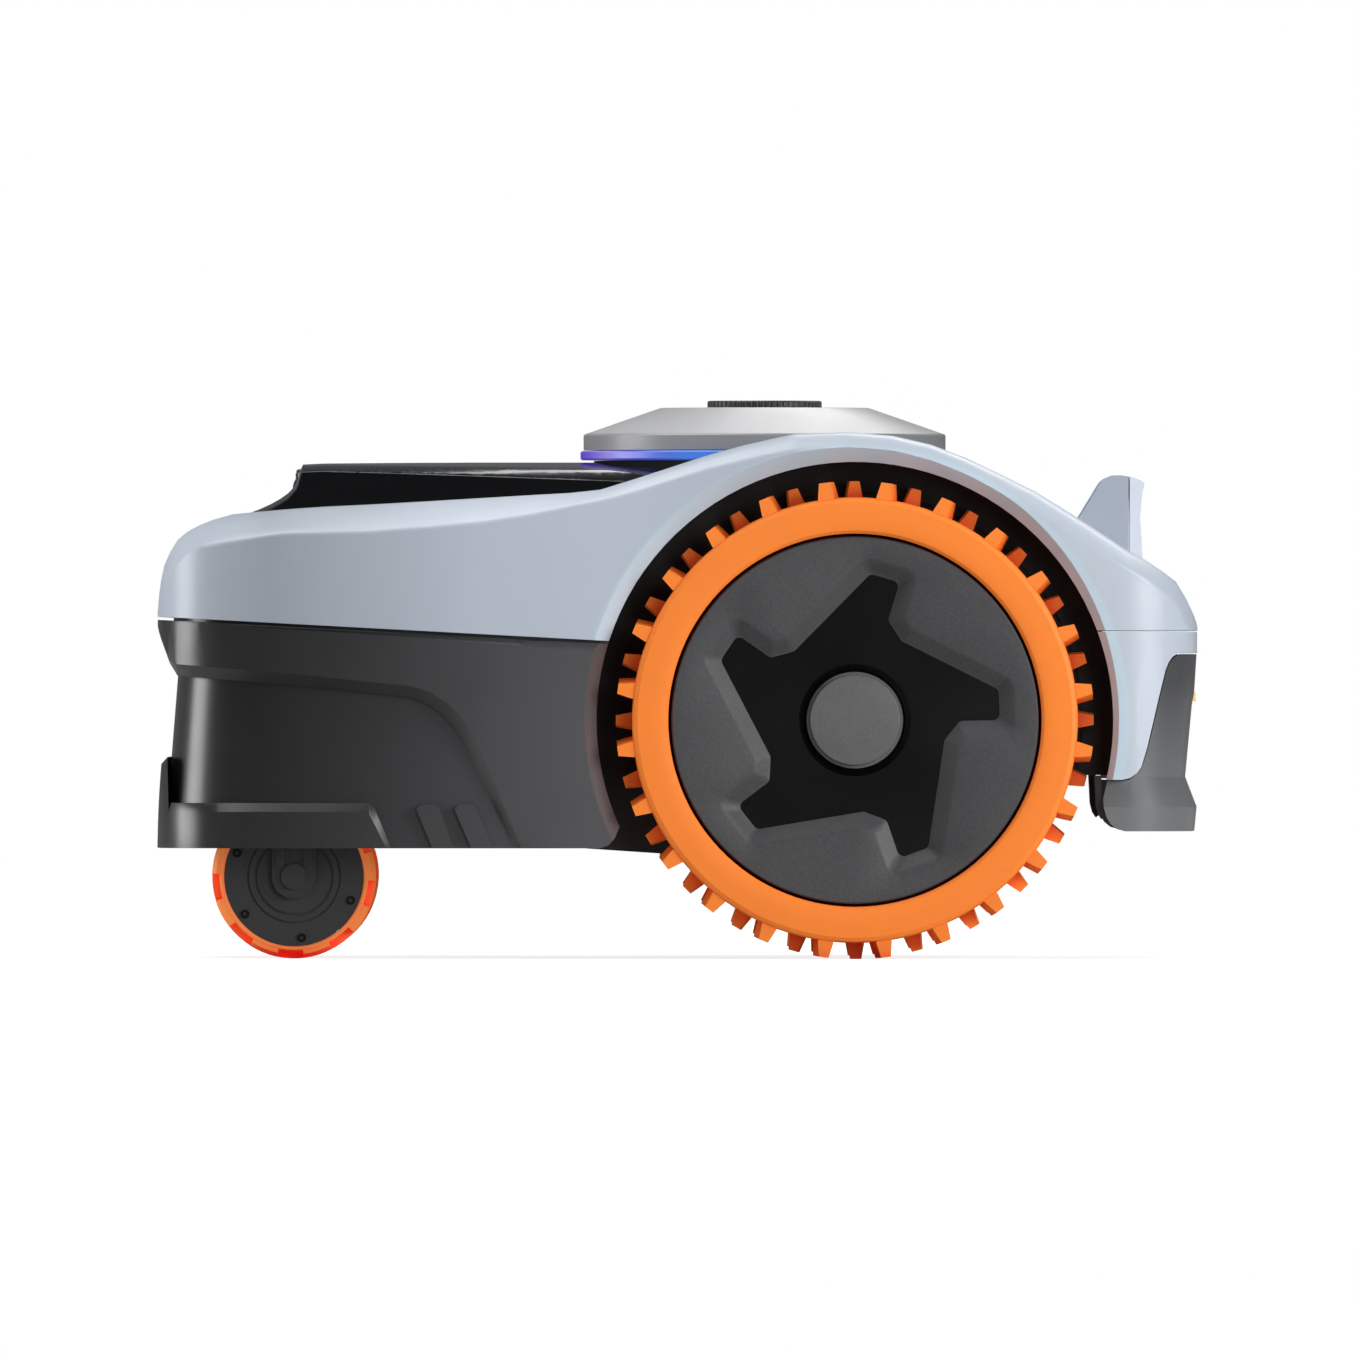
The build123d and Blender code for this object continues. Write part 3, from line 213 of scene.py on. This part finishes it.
# painted shade and reflection: the moulded bevel ring round the arches is tinted cooler than the panels it joins
nt = M["shell"].node_tree
bsdf = [n for n in nt.nodes if n.bl_idname == "ShaderNodeBsdfPrincipled"][0]
base = bsdf.inputs["Base Color"].links[0].from_socket
flat = nt.nodes.new("ShaderNodeVectorMath")
flat.operation = "MULTIPLY"
flat.inputs[1].default_value = (1, 0, 1)
nt.links.new(coords(nt), flat.inputs[0])
gap = nt.nodes.new("ShaderNodeVectorMath")
gap.operation = "DISTANCE"
gap.inputs[1].default_value = (-0.092, 0, 0.124)
nt.links.new(flat.outputs["Vector"], gap.inputs[0])
ring = ramp(nt, map_range(nt, gap.outputs["Value"], 0.0, 1.0, 0.1415, 0.1435), [(0.0, lin(240, 255, 255)), (1.0, lin(240, 243, 243))])
mul = nt.nodes.new("ShaderNodeMix")
mul.data_type = "RGBA"
mul.blend_type = "MULTIPLY"
mul.inputs["Factor"].default_value = 1.0
nt.links.new(base, mul.inputs["A"])
nt.links.new(ring, mul.inputs["B"])
nt.links.new(mul.outputs["Result"], bsdf.inputs["Base Color"])
M["turret"] = plastic("turret", lin(158, 158, 159), (0.30, 0.40), 0.03, 1200.0, 0.05, 0.0001, coat=0.15, coat_rough=0.25)
# painted light: the turret's top above the light ring is much lighter than its sides
paint_light_and_shade(M["turret"], [(0.0, grey(0.9)), (0.72, grey(0.9)), (0.76, grey(1.38)), (1.0, grey(1.38))], 0.2645, 0.2765, "Z")
# painted shade: the turret is darkened towards the rear
paint_light_and_shade(M["turret"], [(0.0, grey(0.66)), (0.25, grey(0.62)), (0.48, grey(0.78)), (0.72, grey(1.0)), (1.0, grey(1.02))], -0.19, 0.06)
M["knob"] = plastic("knob", lin(40, 40, 41), (0.42, 0.52), 0.08, 900.0, 0.10, 0.0001)
M["grip"] = plastic("grip", lin(218, 224, 234), (0.40, 0.5), 0.015, 1200.0, 0.05, 0.0001)
M["hub"] = plastic("hub", lin(68, 67, 69), (0.46, 0.60), 0.24, 780.0, 0.5, 0.00025)
M["cap"] = plastic("cap", lin(96, 95, 96), (0.45, 0.58), 0.16, 820.0, 0.35, 0.0002)
M["rim"] = plastic("rim", lin(22, 22, 23), (0.5, 0.6), 0.08, 700.0, 0.10, 0.0002)
M["fork"] = plastic("fork", lin(48, 48, 50), (0.42, 0.52), 0.08, 900.0, 0.15, 0.0002)
M["core"] = plastic("core", lin(52, 52, 54), (0.45, 0.56), 0.10, 800.0, 0.22, 0.0002)
M["screw"] = metal("screw", lin(34, 34, 35), (0.35, 0.5))
M["steel"] = metal("steel", lin(186, 186, 190))
M["blade"] = metal("blade", lin(200, 200, 203), (0.18, 0.32), (900, 60, 60))
M["brass"] = metal("brass", lin(214, 186, 120), (0.25, 0.4), (60, 900, 60))
M["motor"] = metal("motor", lin(130, 134, 140), (0.3, 0.45), (60, 900, 60))
M["battery"] = plastic("battery", lin(36, 38, 44), (0.4, 0.5), 0.06, 700.0, 0.12, 0.0002)
M["board"] = plastic("board", lin(20, 84, 46), (0.3, 0.42), 0.25, 240.0, 0.10, 0.0002)
M["carriage"] = plastic("carriage", lin(44, 44, 46), (0.5, 0.6), 0.10, 600.0, 0.15, 0.0002)
M["disc"] = plastic("disc", lin(40, 40, 41), (0.45, 0.55), 0.10, 700.0, 0.15, 0.0002)
M["ceramic"] = plastic("ceramic", lin(206, 198, 180), (0.3, 0.4), 0.04, 500.0, 0.05, 0.0001)
M["bezel"] = plastic("bezel", lin(20, 20, 22), (0.2, 0.3), 0.06, 700.0, 0.05, 0.0001, coat=0.4, coat_rough=0.1)
# second colour: painted shade in the tread gaps; last number: painted glow
M["tyre"] = rubber("tyre", lin(255, 136, 46), lin(228, 40, 10), 0.08)
M["caster_tyre"] = rubber("caster_tyre", lin(255, 140, 70), lin(246, 40, 24), 0.24)

# light ring: the hue turns from violet at the front to blue along the side
m, nt, bsdf = new_material("light_ring")
sep = nt.nodes.new("ShaderNodeSeparateXYZ")
nt.links.new(coords(nt), sep.inputs["Vector"])
along = map_range(nt, sep.outputs["X"], 0.0, 1.0, -0.142, 0.0507)
hue = ramp(
    nt, along,
    [(0.0, lin(70, 120, 230)), (0.70, lin(72, 126, 222)), (0.86, lin(96, 104, 226)), (0.93, lin(150, 136, 232)), (1.0, lin(84, 50, 214))],
)
nt.links.new(hue, bsdf.inputs["Base Color"])
nt.links.new(hue, bsdf.inputs["Emission Color"])
bsdf.inputs["Emission Strength"].default_value = 0.24
bsdf.inputs["Roughness"].default_value = 0.3
M["led"] = m

m, nt, bsdf = new_material("lens")
v = coords(nt)
tint = noise(nt, v, 90.0, 1.0)
nt.links.new(ramp(nt, tint, [(0.3, lin(20, 24, 46)), (0.7, lin(30, 20, 60))]), bsdf.inputs["Base Color"])
bsdf.inputs["Roughness"].default_value = 0.04
bsdf.inputs["Coat Weight"].default_value = 1.0
bsdf.inputs["Coat Roughness"].default_value = 0.01
M["lens"] = m

SLOTS = {
    "shell_paint": "shell", "panel_plastic": "panel", "skirt_plastic": "skirt", "tub_plastic": "tub",
    "liner_plastic": "liner", "deck_gloss": "deck", "bezel_plastic": "bezel", "barrel_plastic": "bezel",
    "lens_glass": "lens", "neck_plastic": "neck", "light_ring": "led", "turret_plastic": "turret",
    "ceramic": "ceramic", "knob_plastic": "knob", "steel": "steel", "axle_steel": "fork",
    "bearing_steel": "steel", "contact_brass": "brass", "grip_plastic": "grip", "motor_steel": "motor",
    "battery_plastic": "battery", "board": "board", "carriage_plastic": "carriage", "disc_plastic": "disc",
    "blade_steel": "blade", "tyre_orange": "tyre", "caster_orange": "caster_tyre", "rim_plastic": "rim",
    "hub_plastic": "hub", "inlay_gloss": "inlay", "cap_plastic": "cap", "fork_plastic": "fork",
    "core_plastic": "core", "screw_black": "screw",
}
slot_of = {s["node"]: s["material_slot"] for s in frame["record"]["subparts"]}
for name, o in nodes.items():
    mat = M["handle"] if name == "carry_handle" else M[SLOTS[slot_of[name]]]
    o.data.materials.clear()
    o.data.materials.append(mat)
    for p in o.data.polygons:
        p.use_smooth = True
    w = o.modifiers.new("weld", "WELD")
    w.merge_threshold = 0.00002
    e = o.modifiers.new("split", "EDGE_SPLIT")
    e.split_angle = math.radians(26)

# ---------------------------------------------------------------- floor, lights, camera
bpy.ops.mesh.primitive_plane_add(size=24, location=(0, 0, 0))
floor = bpy.context.object
floor.name = "floor"
floor_mat = plastic("floor_pale", lin(186, 186, 187), (0.75, 0.85), 0.004, 40.0, 0.0, 0.0001)
ft = floor_mat.node_tree
f_out = [n for n in ft.nodes if n.bl_idname == "ShaderNodeOutputMaterial"][0]
f_bsdf = [n for n in ft.nodes if n.bl_idname == "ShaderNodeBsdfPrincipled"][0]
f_bsdf.inputs["Emission Color"].default_value = (1, 1, 1, 1)
f_path = ft.nodes.new("ShaderNodeLightPath")
f_gain = ft.nodes.new("ShaderNodeMath")
f_gain.operation = "MULTIPLY"
far = ft.nodes.new("ShaderNodeVectorMath")
far.operation = "LENGTH"
ft.links.new(coords(ft), far.inputs[0])
ft.links.new(map_range(ft, far.outputs["Value"], 0.80, 1.0, 0.35, 1.6), f_gain.inputs[1])
ft.links.new(f_path.outputs["Is Camera Ray"], f_gain.inputs[0])
ft.links.new(f_gain.outputs[0], f_bsdf.inputs["Emission Strength"])
floor.data.materials.append(floor_mat)

world = bpy.data.worlds.new("studio")
scene.world = world
world.use_nodes = True
wt = world.node_tree
wt.nodes.clear()
w_out = wt.nodes.new("ShaderNodeOutputWorld")
seen = wt.nodes.new("ShaderNodeBackground")
seen.inputs["Color"].default_value = (1, 1, 1, 1)
seen.inputs["Strength"].default_value = 1.0
fill = wt.nodes.new("ShaderNodeBackground")
fill.inputs["Color"].default_value = (0.90, 0.94, 1.0, 1)
fill.inputs["Strength"].default_value = 0.15
path = wt.nodes.new("ShaderNodeLightPath")
wmix = wt.nodes.new("ShaderNodeMixShader")
wt.links.new(path.outputs["Is Camera Ray"], wmix.inputs["Fac"])
wt.links.new(fill.outputs["Background"], wmix.inputs[1])
wt.links.new(seen.outputs["Background"], wmix.inputs[2])
wt.links.new(wmix.outputs["Shader"], w_out.inputs["Surface"])


def area(name, loc, target, size, size_y, power, colour=(1, 1, 1)):
    light = bpy.data.lights.new(name, "AREA")
    light.shape = "RECTANGLE"
    light.size, light.size_y = size, size_y
    light.energy = power
    light.color = colour
    o = bpy.data.objects.new(name, light)
    scene.collection.objects.link(o)
    o.location = loc
    o.rotation_mode = "QUATERNION"
    o.rotation_quaternion = (Vector(target) - Vector(loc)).to_track_quat("-Z", "Y")
    return o


area("top", (0.85, 0.1, 2.1), (0, 0, 0.1), 1.8, 1.6, 37)
area("side", (-2.1, 1.45, 0.7), (-0.1, 0.15, 0.15), 1.1, 1.1, 42)
area("strip", (-0.68, 2.5, 0.42), (-0.05, 0.19, 0.16), 0.5, 1.0, 9)
area("front", (2.4, -0.1, 0.38), (0.2, 0.0, 0.15), 1.2, 0.9, 22)
area("back", (-0.75, -2.0, 1.9), (0, 0, 0.15), 1.8, 1.0, 20)

K = 0.52 / 1000.0
cam_data = bpy.data.cameras.new("camera")
cam = bpy.data.objects.new("camera", cam_data)
scene.collection.objects.link(cam)
cam_data.lens = 1200.0
cam_data.sensor_width = 36.0
width = 1354 * K
dist = width * 1200.0 / 36.0
cam.location = (0.00026, 0.12 + dist, (958.5 - 677.0) * K)
cam.rotation_mode = "XYZ"
cam.rotation_euler = (math.radians(90), 0, math.radians(180))
cam_data.clip_end = 200
scene.camera = cam
scene.view_settings.view_transform = "Standard"
